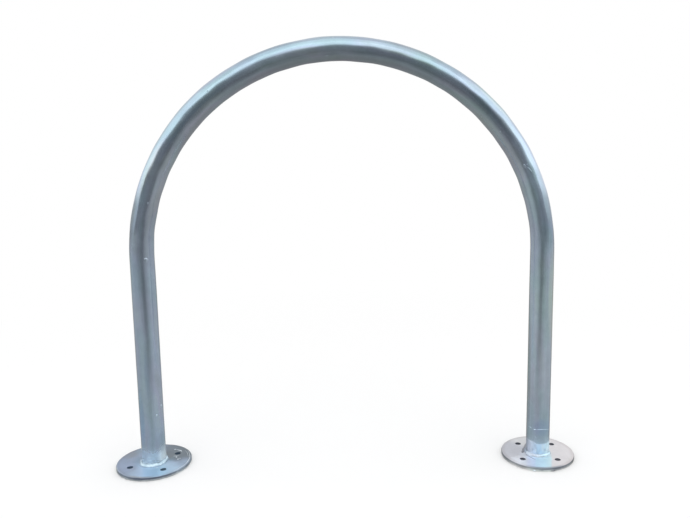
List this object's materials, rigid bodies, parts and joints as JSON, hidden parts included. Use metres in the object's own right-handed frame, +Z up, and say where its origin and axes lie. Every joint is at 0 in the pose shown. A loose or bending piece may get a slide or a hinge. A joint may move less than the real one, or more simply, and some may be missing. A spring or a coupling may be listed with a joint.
{
  "type": "hoop bike stand",
  "caption": "Upright galvanised tube hoop on two round bolt-down base plates, for leaning and locking bicycles against.",
  "frame": {"origin": "on the ground, midway between the two base plates", "axes": "+Z up, +X from the left leg to the right leg in the plane of the hoop, +Y square to that plane, away from the viewer of the picture"},
  "size_m": [0.95, 0.15, 0.86],
  "materials": {
    "galvanised_tube": "hot-dip galvanised, smooth and softly reflecting, with faint cloudy spangle",
    "galvanised_plate": "hot-dip galvanised flat plate, pale and satin, with uneven zinc on the rim",
    "galvanised_weld": "rippled weld bead under bright zinc"
  },
  "bodies": {
    "root": {"hoop_tube": "galvanised_tube", "left_flange": "galvanised_plate", "right_flange": "galvanised_plate", "left_weld": "galvanised_weld", "right_weld": "galvanised_weld"}
  },
  "joints": []
}
